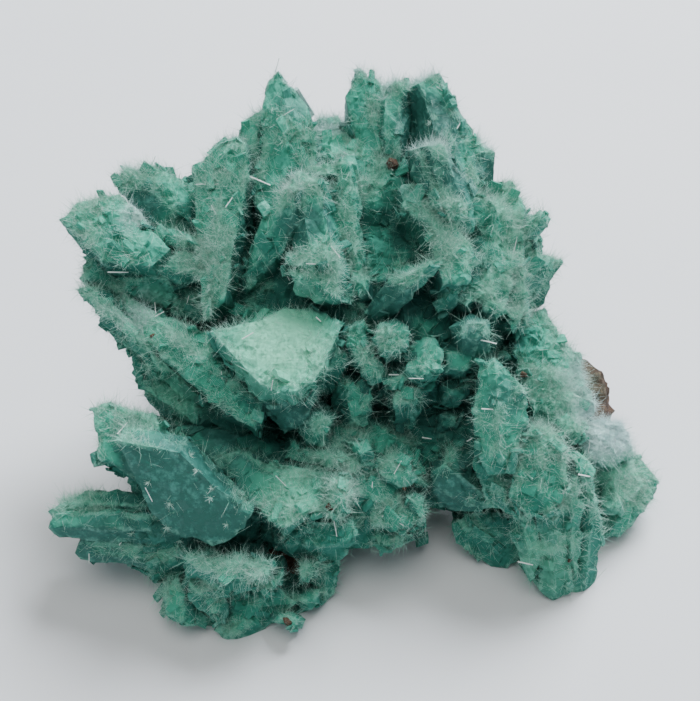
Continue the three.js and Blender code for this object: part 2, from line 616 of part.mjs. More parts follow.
// A named mesh from a finished solid.
function meshOf(name, solid, material) {
  const made = solid.getMesh();
  const geometry = new THREE.BufferGeometry();
  const positions = new Float32Array(made.numVert * 3);
  for (let i = 0; i < made.numVert; i++) {
    positions.set(made.vertProperties.subarray(i * made.numProp, i * made.numProp + 3), i * 3);
  }
  geometry.setAttribute("position", new THREE.BufferAttribute(positions, 3));
  geometry.setIndex(new THREE.BufferAttribute(made.triVerts, 1));
  geometry.computeVertexNormals();
  const mesh = new THREE.Mesh(geometry, material);
  mesh.name = name;
  return mesh;
}

const green = new THREE.MeshStandardMaterial({ color: 0x4f9c86, roughness: 0.85, metalness: 0 });
const brown = new THREE.MeshStandardMaterial({ color: 0x6d5a52, roughness: 0.9, metalness: 0 });

const underneath = ground();
const crystals = largest(clusterSolid().subtract(underneath).subtract(matrixSolid(CLEARANCE)));
const rock = largest(matrixSolid(0).subtract(underneath));

const specimen = new THREE.Group();
specimen.add(meshOf("crystal_cluster", crystals, green));
specimen.add(meshOf("matrix", rock, brown));
const extent = new THREE.Box3().setFromObject(specimen);
specimen.position.set(-(extent.min.x + extent.max.x) / 2, -(extent.min.y + extent.max.y) / 2, 0);

export default specimen;
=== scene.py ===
"""Looks of a kobyashevite specimen.

Rough blue-green blades stand in a fan on brown rock, coated with fine pale needles. Lengths are in
millimetres in this file, and a mesh is turned into metres when it is made.
"""

import logging
import math
from dataclasses import dataclass, field
from enum import Enum

import bmesh
import bpy
import numpy as np
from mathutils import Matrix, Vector, kdtree, noise
from mathutils.bvhtree import BVHTree


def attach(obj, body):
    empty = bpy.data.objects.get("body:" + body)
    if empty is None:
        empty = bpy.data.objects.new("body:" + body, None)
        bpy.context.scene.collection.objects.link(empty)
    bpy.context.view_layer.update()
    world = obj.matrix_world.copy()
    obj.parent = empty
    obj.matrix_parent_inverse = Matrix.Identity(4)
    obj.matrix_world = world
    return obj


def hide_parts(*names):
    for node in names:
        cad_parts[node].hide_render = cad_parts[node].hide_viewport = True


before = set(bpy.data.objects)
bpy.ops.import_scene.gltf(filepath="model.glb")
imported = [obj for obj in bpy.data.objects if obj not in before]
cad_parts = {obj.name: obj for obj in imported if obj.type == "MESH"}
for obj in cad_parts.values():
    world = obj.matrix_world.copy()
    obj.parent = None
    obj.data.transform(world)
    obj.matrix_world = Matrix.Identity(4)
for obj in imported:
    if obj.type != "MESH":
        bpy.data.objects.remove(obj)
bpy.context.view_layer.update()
Array, Generator = np.ndarray, np.random.Generator
Material, Object, Socket = bpy.types.Material, bpy.types.Object, bpy.types.NodeSocket
LOG = logging.getLogger("specimen")
MM = 0.001
METRE = 1000.0
UPWARD = np.array((0.0, 0.0, 1.0))


class Kind(Enum):
    """What a marked face of the crystals looks like."""

    BARE = "bare"
    PALE = "pale"
    WOOLLY = "woolly"
    FROSTY = "frosty"


class Unit(Enum):
    """The small shapes that are repeated over the specimen."""

    NEEDLE = "needle"
    ROD = "rod"
    PLATE = "plate"
    GRAIN = "grain"


@dataclass(frozen=True)
class Tint:
    """A colour by its display values from 0 to 255."""

    red: int
    green: int
    blue: int

    @property
    def linear(self) -> tuple[float, float, float, float]:
        """The colour as the renderer's linear values.

        Returns:
            Red, green, blue and full alpha.
        """
        parts = [c / 255 for c in (self.red, self.green, self.blue)]
        bent = [c / 12.92 if c <= 0.04045 else ((c + 0.055) / 1.055) ** 2.4 for c in parts]
        return (*bent, 1.0)


@dataclass(frozen=True)
class Sight:
    """The show side's view: places are given across, up and near, as the eye sees them."""

    centre: tuple[float, float, float] = (-2.5, 2.2, 22.4)
    distance: float = 165.0
    tilt: float = math.radians(45)
    lens: float = 50.84
    sensor: float = 36.0

    @property
    def axes(self) -> tuple[Array, Array, Array]:
        """The directions across, up and towards the eye."""
        low, high = math.cos(self.tilt), math.sin(self.tilt)
        return np.array((1.0, 0.0, 0.0)), np.array((0.0, high, low)), np.array((0.0, -low, high))

    @property
    def eye(self) -> Array:
        """Where the eye is, in millimetres."""
        return np.array(self.centre) + self.distance * self.axes[2]

    def place(self, across: float, up: float, near: float) -> Array:
        """The point of a place that the eye sees.

        Args:
            across: Millimetres to the right of the view's middle.
            up: Millimetres above the view's middle.
            near: Millimetres in front of the plane through the view's middle.

        Returns:
            The point in the part's frame, in millimetres.
        """
        right, rise, toward = self.axes
        shrink = 1 - near / self.distance
        return np.array(self.centre) + shrink * (across * right + up * rise) + near * toward

    def meet(self, tree: BVHTree, place: Array) -> tuple[Array, Array] | None:
        """What the eye meets first when it looks towards a place.

        Args:
            tree: The surface.
            place: The point that it looks at, in millimetres.

        Returns:
            The point and the normal of the surface there, or None where it meets nothing.
        """
        look = place - self.eye
        point, normal = tree.ray_cast(Vector(self.eye), Vector(look / np.linalg.norm(look)))[:2]
        return None if point is None else (np.array(point), np.array(normal))


SIGHT = Sight()


@dataclass(frozen=True)
class Patch:
    """A marked region of the crystals: a ball round a place that the eye sees."""

    across: float
    up: float
    near: float
    radius: float
    strength: float
    steepness: float = 1.6

    def weight(self, points: Array) -> Array:
        """How much each point belongs to the patch.

        Args:
            points: Places, in millimetres.

        Returns:
            One value a point, from 0 outside to the patch's strength in its middle.
        """
        middle = SIGHT.place(self.across, self.up, self.near)
        away = np.linalg.norm(points - middle, axis=1) / self.radius
        return self.strength * np.clip(self.steepness - self.steepness * away, 0, 1)


def smooth_step(values: Array, low: float, high: float) -> Array:
    """Eases values between two limits.

    Args:
        values: What is eased.
        low: Value that gives 0.
        high: Value that gives 1.

    Returns:
        The eased values.
    """
    share = np.clip((values - low) / (high - low), 0, 1)
    return share * share * (3 - 2 * share)


def cloud(points: Array, size: float, shift: float = 0.0, octaves: int = 3) -> Array:
    """Soft noise in space.

    Args:
        points: Places, in millimetres.
        size: Width of the noise's largest lumps.
        shift: Moves the pattern, so that two clouds differ.
        octaves: How many finer layers it has.

    Returns:
        One value a point, from about -1 to 1.
    """
    roughness, step = 0.9, 2.1
    moved = points / size + shift
    return np.array([noise.fractal(Vector(p), roughness, step, octaves) for p in moved])


def unit_length(vectors: Array) -> Array:
    """The same directions at length 1."""
    return vectors / np.maximum(np.linalg.norm(vectors, axis=1, keepdims=True), 1e-9)


def nearest(points: Array, targets: Array) -> tuple[Array, Array]:
    """The nearest target of each point.

    Args:
        points: Places, in millimetres.
        targets: The places to choose from.

    Returns:
        The target's number and its distance, for each point.
    """
    tree = kdtree.KDTree(len(targets))
    for number, target in enumerate(targets):
        tree.insert(target, number)
    tree.balance()
    found = [tree.find(point) for point in points]
    return np.array([f[1] for f in found]), np.array([f[2] for f in found])


class Field:
    """A shader value that takes part in Python sums and products."""

    def __init__(self, paint: "Paint", socket: Socket) -> None:
        """Wraps a socket of a material.

        Args:
            paint: The material that the socket is in.
            socket: The output that holds the value.
        """
        self.paint = paint
        self.socket = socket

    def _math(self, operation: str, first: "Field | float", second: "Field | float") -> "Field":
        """The result of a Math node on two values.

        Args:
            operation: The node's operation.
            first: Its first value.
            second: Its second value.

        Returns:
            The result.
        """
        node = self.paint.node("ShaderNodeMath", {"operation": operation}, {0: first, 1: second})
        return Field(self.paint, node.outputs[0])

    def __add__(self, other: "Field | float") -> "Field":
        """Sum."""
        return self._math("ADD", self, other)

    def __radd__(self, other: float) -> "Field":
        """Sum, from the right."""
        return self._math("ADD", other, self)

    def __sub__(self, other: "Field | float") -> "Field":
        """Difference."""
        return self._math("SUBTRACT", self, other)

    def __rsub__(self, other: float) -> "Field":
        """Difference, from the right."""
        return self._math("SUBTRACT", other, self)

    def __mul__(self, other: "Field | float") -> "Field":
        """Product."""
        return self._math("MULTIPLY", self, other)

    def __rmul__(self, other: float) -> "Field":
        """Product, from the right."""
        return self._math("MULTIPLY", other, self)

    def eased(self, low: float, high: float) -> "Field":
        """The value eased from 0 at low to 1 at high.

        Args:
            low: Value that gives 0.
            high: Value that gives 1.

        Returns:
            The eased value.
        """
        sockets = {"Value": self, "From Min": low, "From Max": high}
        node = self.paint.node("ShaderNodeMapRange", {"interpolation_type": "SMOOTHSTEP"}, sockets)
        return Field(self.paint, node.outputs["Result"])


class Paint:
    """A material under construction."""

    def __init__(self, name: str) -> None:
        """Starts an empty material.

        Args:
            name: The finish's name.
        """
        self.material = bpy.data.materials.new(name)
        self.material.use_nodes = True
        self.tree = self.material.node_tree
        self.tree.nodes.clear()
        self.place = self.node("ShaderNodeTexCoord", {}, {}).outputs["Object"]

    def node(self, kind: str, settings: dict, sockets: dict) -> bpy.types.Node:
        """Adds a node.

        Args:
            kind: The node's type.
            settings: Attributes that are set first.
            sockets: Input names or numbers, with a value, a tint, a Field or a socket to link.

        Returns:
            The node.
        """
        made = self.tree.nodes.new(kind)
        for name, value in settings.items():
            setattr(made, name, value)
        for name, value in sockets.items():
            target = made.inputs[name]
            if isinstance(value, Field):
                self.tree.links.new(value.socket, target)
            elif isinstance(value, Socket):
                self.tree.links.new(value, target)
            elif isinstance(value, Tint):
                target.default_value = value.linear
            else:
                target.default_value = value
        return made

    def mark(self, name: str) -> Field:
        """A value that the mesh holds at each point."""
        node = self.node("ShaderNodeAttribute", {"attribute_name": name}, {})
        return Field(self, node.outputs["Fac"])

    def mottle(self, size: float, detail: float = 4.0, roughness: float = 0.6) -> Field:
        """Noise over the piece's own space.

        Args:
            size: Width of its lumps, in millimetres.
            detail: Number of finer layers.
            roughness: Strength of the finer layers.

        Returns:
            A value from 0 to 1.
        """
        scale = 1 / (size * MM)
        sockets = {"Vector": self.place, "Scale": scale, "Detail": detail, "Roughness": roughness}
        return Field(self, self.node("ShaderNodeTexNoise", {}, sockets).outputs[0])

    def cells(self, size: float) -> Field:
        """Distance to the nearest of scattered points, for chips and pits.

        Args:
            size: Width of a cell, in millimetres.

        Returns:
            A value from 0 in a cell's middle to about 1.
        """
        sockets = {"Vector": self.place, "Scale": 1 / (size * MM)}
        cell = self.node("ShaderNodeTexVoronoi", {"feature": "F1"}, sockets)
        return Field(self, cell.outputs["Distance"])

    def facets(self, size: float, slope: float) -> Field:
        """Height of small flat facets, each tipped its own way.

        Args:
            size: Width of a facet, in millimetres.
            slope: How far they are tipped.

        Returns:
            The height, in metres.
        """
        sockets = {"Vector": self.place, "Scale": 1 / (size * MM)}
        cell = self.node("ShaderNodeTexVoronoi", {"feature": "F1"}, sockets)
        kind, less, dot = "ShaderNodeVectorMath", {"operation": "SUBTRACT"}, {"operation": "DOT_PRODUCT"}
        inside = self.node(kind, less, {0: self.place, 1: cell.outputs["Position"]}).outputs[0]
        tip = self.node(kind, less, {0: cell.outputs["Color"], 1: (0.5, 0.5, 0.5)}).outputs[0]
        return Field(self, self.node(kind, dot, {0: inside, 1: tip}).outputs["Value"]) * slope

    def mix(self, share: Field | float, first: Tint | Socket, second: Tint | Socket) -> Socket:
        """A colour between two.

        Args:
            share: How much of the second.
            first: A tint or a colour socket.
            second: A tint or a colour socket.

        Returns:
            The colour's socket.
        """
        settings = {"data_type": "RGBA", "clamp_factor": True}
        return self.node("ShaderNodeMix", settings, {0: share, 6: first, 7: second}).outputs[2]

    def bump(self, height: Field, depth: float, under: Socket | None = None) -> Socket:
        """A normal from a height.

        Args:
            height: The height, where 1 is depth.
            depth: Height's unit, in millimetres.
            under: A normal to add to.

        Returns:
            The normal's socket.
        """
        sockets = {"Height": height, "Distance": depth * MM, "Strength": 1.0}
        if under is not None:
            sockets["Normal"] = under
        return self.node("ShaderNodeBump", {}, sockets).outputs[0]

    def finish(self, sockets: dict) -> Material:
        """Ends the material in one shader.

        Args:
            sockets: Inputs of the shader.

        Returns:
            The material.
        """
        shader = self.node("ShaderNodeBsdfPrincipled", {}, sockets)
        self.node("ShaderNodeOutputMaterial", {}, {"Surface": shader.outputs[0]})
        return self.material


@dataclass(frozen=True)
class CrystalFinish:
    """Blue-green crystal skin: dark where bare, mint where the crust of needles is thick, with painted shade
    in hollows and painted light on top.
    """

    name: str = "green_crystal"
    # Painted shade colour for hollows and gaps.
    painted_hollow_shade: Tint = Tint(30, 82, 74)
    bare: Tint = Tint(47, 105, 95)
    streak: Tint = Tint(76, 146, 134)
    green: Tint = Tint(46, 134, 116)
    # Lighter green, partly random and partly painted light on upward faces.
    light: Tint = Tint(70, 168, 143)
    mint: Tint = Tint(120, 198, 172)
    # Lighter rim colour, partly pale fuzz and partly painted edge highlight.
    edge: Tint = Tint(150, 206, 188)
    # Bluish white, partly frosting and partly painted highlight.
    frost: Tint = Tint(196, 222, 222)
    pale: Tint = Tint(128, 212, 178)
    patch_size: float = 6
    speck_size: float = 1.1
    grain_size: float = 0.3
    plane_size: float = 5.5
    facet_size: float = 1.3
    shard_size: float = 0.5
    pit_depth: float = 0.14

    def colour(self, paint: Paint, coarse: Field, fine: Field) -> Socket:
        """The skin's colour, laid on in coats from the green ground to the painted shade in the gaps.

        Args:
            paint: The material.
            coarse: Noise of the size of a patch.
            fine: Noise of the size of a speck.

        Returns:
            The colour's socket.
        """
        names = ("crust", "open", "bare", "pale", "up", "frost", "rim", "tone")
        crust, open_, bare, pale, up, frost, rim, tone = (paint.mark(name) for name in names)
        # Random mottle plus painted light: faces that look up to the open sky lean to the lighter green.
        patchy_and_top_lit = coarse * 0.5 + fine * 0.4 + tone * 0.3 + up * 0.3
        skin = paint.mix(patchy_and_top_lit.eased(0.3, 0.95), self.green, self.light)
        # Painted shade: faces that stand upright or turn down are pushed towards the darker bare colours, as
        # the truly bare patches are.
        painted_steep_shade = 0.8 - up * 0.8 + (coarse - 0.5) * 0.9
        smooth = paint.mix((coarse * 0.35 + fine * 0.65).eased(0.47, 0.66), self.bare, self.streak)
        skin = paint.mix((bare * 1.4 + painted_steep_shade * 0.85 + (fine - 0.5) * 0.5).eased(0.25, 1.1), skin, smooth)
        woolly = (crust + (coarse - 0.5) * 0.9 + (fine - 0.5) * 1.2).eased(0.45, 1.1)
        skin = paint.mix(woolly * (0.75 - bare * 0.6), skin, self.mint)
        # Painted highlight, partly real frosting: high parts that face the sky and turn away from the eye
        # are whitened as if lit from behind, and so are the frosty patches.
        frost_and_highlight_share = (frost + (fine - 0.5) * 0.8).eased(0.3, 1.0) * (1 - bare) * (1 - pale)
        skin = paint.mix(frost_and_highlight_share * 0.8, skin, self.frost)
        skin = paint.mix(pale * (0.85 + 0.6 * (fine - 0.5)), skin, self.pale)
        # Lighter rims: partly pale fuzz on the rims, partly a painted edge highlight.
        edge = rim.eased(0.7, 1.0) * fine.eased(0.4, 0.7) * 0.5
        skin = paint.mix(edge * (1 - pale) * (1 - 0.8 * bare), skin, self.edge)
        # Painted shade: darker teal where other crystals close the point in, in hollows and between blades.
        return paint.mix((1 - open_).eased(0.2, 0.9) * 0.9, skin, self.painted_hollow_shade)

    def relief(self, paint: Paint, fine: Field) -> Socket:
        """The skin's relief: broad planes where bare, then facets, shards and pits where crusted.

        Args:
            paint: The material.
            fine: Noise of the size of a speck.

        Returns:
            The normal's socket.
        """
        crust, bare, pale = (paint.mark(name) for name in ("crust", "bare", "pale"))
        chipped = 0.35 + 0.65 * crust
        planes = paint.facets(self.plane_size, 0.5) * bare
        facets = paint.facets(self.facet_size, 1.0) * chipped * (1 - pale * 0.8)
        shards = paint.facets(self.shard_size, 1.0) * chipped * (1 - bare * 0.6)
        normal = paint.bump(planes, 0.6 * METRE)
        normal = paint.bump(facets, METRE, normal)
        normal = paint.bump(shards, METRE, normal)
        pits = (fine + 0.3 * paint.mottle(self.grain_size, 3, 0.7)) * chipped
        return paint.bump(pits, self.pit_depth, normal)

    def paint(self) -> Material:
        """The material of the crystals and of their small plates.

        Returns:
            The material.
        """
        paint = Paint(self.name)
        coarse, fine = paint.mottle(self.patch_size, 5, 0.65), paint.mottle(self.speck_size, 4, 0.7)
        sockets = {
            "Base Color": self.colour(paint, coarse, fine),
            "Roughness": 0.8 - 0.22 * paint.mark("bare") + 0.2 * (fine - 0.5),
            "Normal": self.relief(paint, fine),
            "Specular IOR Level": 0.3,
        }
        return paint.finish(sockets)


@dataclass(frozen=True)
class NeedleFinish:
    """Fine needles: green at the foot and milky at the tip, whitened by painted highlight on high backlit
    edges and darkened by painted shade where closed in.
    """

    name: str = "needle_coat"
    foot: Tint = Tint(98, 186, 160)
    tip: Tint = Tint(228, 250, 242)
    frost: Tint = Tint(220, 236, 242)
    shade: Tint = Tint(44, 116, 102)

    def paint(self) -> Material:
        """The material of a coat of needles.

        Returns:
            The material.
        """
        paint = Paint(self.name)
        colour = paint.mix(paint.mark("tip"), self.foot, self.tip)
        # Painted highlight: needles on high backlit edges are whitened.
        colour = paint.mix(paint.mark("frost"), colour, self.frost)
        colour = paint.mix(paint.mark("shade"), colour, self.shade)
        return paint.finish({"Base Color": colour, "Roughness": 0.55, "Specular IOR Level": 0.35})


@dataclass(frozen=True)
class RodFinish:
    """Loose glassy rods, nearly white."""

    name: str = "glassy_rods"
    body: Tint = Tint(250, 254, 252)
    cloudy: Tint = Tint(222, 242, 236)

    def paint(self) -> Material:
        """The material of the loose rods.

        Returns:
            The material.
        """
        paint = Paint(self.name)
        colour = paint.mix(paint.mottle(1.5, 2), self.body, self.cloudy)
        return paint.finish({"Base Color": colour, "Roughness": 0.18, "IOR": 1.6})


@dataclass(frozen=True)
class RockFinish:
    """Brown broken rock with ochre and green stains."""

    name: str = "brown_matrix"
    dark: Tint = Tint(58, 45, 38)
    brown: Tint = Tint(101, 82, 70)
    ochre: Tint = Tint(140, 116, 92)
    stain: Tint = Tint(74, 122, 104)
    pit_size: float = 1.8

    def paint(self) -> Material:
        """The material of the rock and of its grains.

        Returns:
            The material.
        """
        paint = Paint(self.name)
        coarse, fine, grit = paint.mottle(7, 6, 0.7), paint.mottle(1.4, 5, 0.75), paint.mottle(0.35, 3, 0.7)
        colour = paint.mix((coarse * 0.5 + fine * 0.5).eased(0.35, 0.65), self.dark, self.brown)
        colour = paint.mix((fine + (grit - 0.5) * 0.8).eased(0.55, 0.8) * 0.6, colour, self.ochre)
        colour = paint.mix(paint.mark("stain") * (coarse.eased(0.35, 0.6)), colour, self.stain)
        normal = paint.bump(paint.cells(self.pit_size), 0.3)
        normal = paint.bump(fine, 0.35, normal)
        normal = paint.bump(grit, 0.12, normal)
        sockets = {"Base Color": colour, "Roughness": 0.9, "Normal": normal, "Specular IOR Level": 0.25}
        return paint.finish(sockets)


GREEN = CrystalFinish().paint()
ROCK = RockFinish().paint()
NEEDLES = NeedleFinish().paint()


@dataclass
class Skin:
    """A surface as arrays: points and normals in millimetres, triangles, and named values a point."""

    points: Array
    normals: Array
    faces: Array
    marks: dict[str, Array] = field(default_factory=dict)

    @classmethod
    def of(cls, mesh: bpy.types.Mesh) -> "Skin":
        """Reads a mesh.

        Args:
            mesh: A mesh in metres.

        Returns:
            Its points, normals and triangles.
        """
        mesh.calc_loop_triangles()
        points = np.zeros((len(mesh.vertices), 3), np.float32)
        normals = np.zeros((len(mesh.vertices), 3), np.float32)
        faces = np.zeros((len(mesh.loop_triangles), 3), np.int32)
        mesh.vertices.foreach_get("co", points.ravel())
        mesh.vertices.foreach_get("normal", normals.ravel())
        mesh.loop_triangles.foreach_get("vertices", faces.ravel())
        return cls(points.astype(float) / MM, normals.astype(float), faces)

    @property
    def tree(self) -> BVHTree:
        """The surface as a tree, for what is near a point or in the way of a ray."""
        return BVHTree.FromPolygons([Vector(p) for p in self.points], self.faces.tolist())

    def lift(self, lowest: float = 0.02) -> None:
        """Keeps every point at or above a height, in millimetres."""
        self.points[:, 2] = np.maximum(self.points[:, 2], lowest)

    def object(self, name: str, material: Material, smooth: bool = False) -> Object:
        """A scene object of this surface.

        Args:
            name: The piece's name.
            material: Its material.
            smooth: Whether its shading is smooth.

        Returns:
            The object, at the origin, with its marks as point attributes.
        """
        mesh = bpy.data.meshes.new(name)
        mesh.vertices.add(len(self.points))
        mesh.vertices.foreach_set("co", (self.points * MM).astype(np.float32).ravel())
        mesh.loops.add(self.faces.size)
        mesh.loops.foreach_set("vertex_index", self.faces.astype(np.int32).ravel())
        mesh.polygons.add(len(self.faces))
        mesh.polygons.foreach_set("loop_start", np.arange(0, self.faces.size, 3, dtype=np.int32))
        mesh.update(calc_edges=True)
        if smooth:
            mesh.shade_smooth()
        else:
            mesh.shade_flat()
        for mark, values in self.marks.items():
            layer = mesh.attributes.new(mark, "FLOAT", "POINT")
            layer.data.foreach_set("value", values.astype(np.float32))
        mesh.materials.append(material)
        made = bpy.data.objects.new(name, mesh)
        bpy.context.scene.collection.objects.link(made)
        return made

    def pick(self, count: int, weight: Array, rng: Generator) -> "Skin":
        """Scattered places on the surface.

        Args:
            count: How many.
            weight: How likely each point of the surface is.
            rng: Source of chance.

        Returns:
            The places, their normals and their marks, with no faces.
        """
        first, second, third = (self.points[self.faces[:, corner]] for corner in range(3))
        area = 0.5 * np.linalg.norm(np.cross(second - first, third - first), axis=1)
        chance = area * np.maximum(weight[self.faces].mean(axis=1), 0)
        face = self.faces[rng.choice(len(self.faces), count, p=chance / chance.sum())]
        share = rng.dirichlet((1, 1, 1), count)
        return Skin(
            blended(share, self.points[face]),
            unit_length(blended(share, self.normals[face])),
            np.zeros((0, 3), np.int32),
            {name: blended(share, values[face]) for name, values in self.marks.items()},
        )


def blended(share: Array, values: Array) -> Array:
    """Values inside triangles from those at their corners.

    Args:
        share: How much each corner counts, a row a triangle.
        values: The corners' values.

    Returns:
        One value or vector a triangle.
    """
    return np.einsum("nk,nk...->n...", share, values)


def joined(*skins: Skin) -> Skin:
    """Joins surfaces.

    Args:
        *skins: The surfaces.

    Returns:
        One surface, with the marks that all have.
    """
    shared = set.intersection(*(set(skin.marks) for skin in skins))
    starts = np.cumsum([0] + [len(skin.points) for skin in skins[:-1]])
    return Skin(
        np.concatenate([skin.points for skin in skins]),
        np.concatenate([skin.normals for skin in skins]),
        np.concatenate([skin.faces + start for skin, start in zip(skins, starts)]),
        {name: np.concatenate([skin.marks[name] for skin in skins]) for name in sorted(shared)},
    )


CONES = {Unit.NEEDLE: (3, 1, 0), Unit.ROD: (6, 1, 0.8), Unit.PLATE: (6, 0.5, 0.42)}
PLATE_LEAN = 0.16
PLATE_NARROWING = 0.35


def template(unit: Unit) -> tuple[Array, Array]:
    """The unit shape that a swarm repeats, with its foot at the origin and its length along Z.

    Args:
        unit: Which one. A cone has its number of sides and its radius at foot and tip in CONES.

    Returns:
        Its points and triangles.
    """
    shape = bmesh.new()
    if unit is Unit.GRAIN:
        bmesh.ops.create_icosphere(shape, subdivisions=1, radius=0.5)
    else:
        sides, foot, tip = CONES[unit]
        bmesh.ops.create_cone(shape, cap_ends=True, segments=sides, radius1=foot, radius2=tip, depth=1)
    if unit is Unit.PLATE:
        for vert in shape.verts:
            vert.co.x += PLATE_LEAN * vert.co.z
            vert.co.y *= 1 - PLATE_NARROWING * max(vert.co.z, 0)
    bmesh.ops.remove_doubles(shape, verts=shape.verts, dist=1e-5)
    bmesh.ops.triangulate(shape, faces=shape.faces)
    if unit is not Unit.GRAIN:
        bmesh.ops.translate(shape, vec=(0, 0, 0.5), verts=shape.verts)
    bmesh.ops.recalc_face_normals(shape, faces=shape.faces)
    points = np.array([v.co[:] for v in shape.verts])
    faces = np.array([[v.index for v in f.verts] for f in shape.faces])
    shape.free()
    return points, faces


def swarm(unit: Unit, feet: Array, along: Array, sizes: Array, facing: Array) -> Skin:
    """Many copies of a unit shape as one surface.

    Args:
        unit: The unit shape.
        feet: Where each one stands.
        along: The direction that each one points in.
        sizes: Width, thickness and length of each.
        facing: The direction that the flat of each one faces.

    Returns:
        The joined surface.
    """
    points, faces = template(unit)
    along = unit_length(along)
    side = unit_length(np.cross(along, facing))
    axes = np.stack((side, np.cross(along, side), along), axis=1) * sizes[:, :, None]
    placed = feet[:, None, :] + np.einsum("pk,nkc->npc", points, axes)
    normals = np.repeat(along[:, None, :], len(points), axis=1)
    shifted = faces[None, :, :] + (len(points) * np.arange(len(feet)))[:, None, None]
    return Skin(placed.reshape(-1, 3), normals.reshape(-1, 3), shifted.reshape(-1, 3))


def refined(node: str, edge: float, passes: int = 4, sharp: float = 0.45) -> Skin:
    """A CAD solid's surface with its long edges cut up, so that it can be worked.

    Args:
        node: The CAD node.
        edge: Edges longer than this are halved, in millimetres.
        passes: How often they are halved.
        sharp: Turn between two faces, in radians, that makes a rim or a valley.

    Returns:
        The surface, with the same form, marked by nearness to its rims and valleys.
    """
    shape = bmesh.new()
    shape.from_mesh(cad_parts[node].data)
    bmesh.ops.remove_doubles(shape, verts=shape.verts, dist=2e-6)
    for _ in range(passes):
        bmesh.ops.triangulate(shape, faces=shape.faces)
        long = [e for e in shape.edges if e.calc_length() > edge * MM]
        bmesh.ops.subdivide_edges(shape, edges=long, cuts=1)
    bmesh.ops.triangulate(shape, faces=shape.faces)
    bmesh.ops.recalc_face_normals(shape, faces=shape.faces)
    turns = [(e.calc_face_angle_signed(0), e.verts[0].index) for e in shape.edges]
    mesh = bpy.data.meshes.new(node + "_work")
    shape.to_mesh(mesh)
    shape.free()
    skin = Skin.of(mesh)
    bpy.data.meshes.remove(mesh)
    rims = sorted({index for turn, index in turns if turn > sharp})
    valleys = sorted({index for turn, index in turns if turn < -sharp})
    skin.marks["rim"] = 1 - smooth_step(nearest(skin.points, skin.points[rims])[1], 0.2, 1.9)
    skin.marks["valley"] = 1 - smooth_step(nearest(skin.points, skin.points[valleys])[1], 0.3, 2.6)
    return skin


def openness(skin: Skin, reach: float, rays: int = 18, lift: float = 0.35) -> tuple[Array, Array]:
    """How open each point of a surface is.

    Args:
        skin: The surface.
        reach: How far away something still covers a point, in millimetres.
        rays: Number of directions that are looked in, spread evenly round a ball.
        lift: How far above the surface the look starts.

    Returns:
        The open share of all directions, and of the upward ones.
    """
    turns = np.arange(rays) + 0.5
    height = 1 - 2 * turns / rays
    angle = turns * math.pi * (3 - math.sqrt(5))
    ring = np.sqrt(1 - height * height)
    ways = np.stack((ring * np.cos(angle), ring * np.sin(angle), height), axis=1)
    vectors = [Vector(way) for way in ways]
    tree = skin.tree
    outward = skin.normals @ ways.T > 0.15
    free, sky = np.zeros(len(skin.points)), np.zeros(len(skin.points))
    for i, (point, normal) in enumerate(zip(skin.points, skin.normals)):
        start = Vector(point + lift * normal)
        for k in np.nonzero(outward[i])[0]:
            clear = tree.ray_cast(start, vectors[k], reach)[0] is None
            free[i] += clear
            sky[i] += clear * max(ways[k, 2], 0)
    return free / np.maximum(outward.sum(axis=1), 1), sky / sky.max()


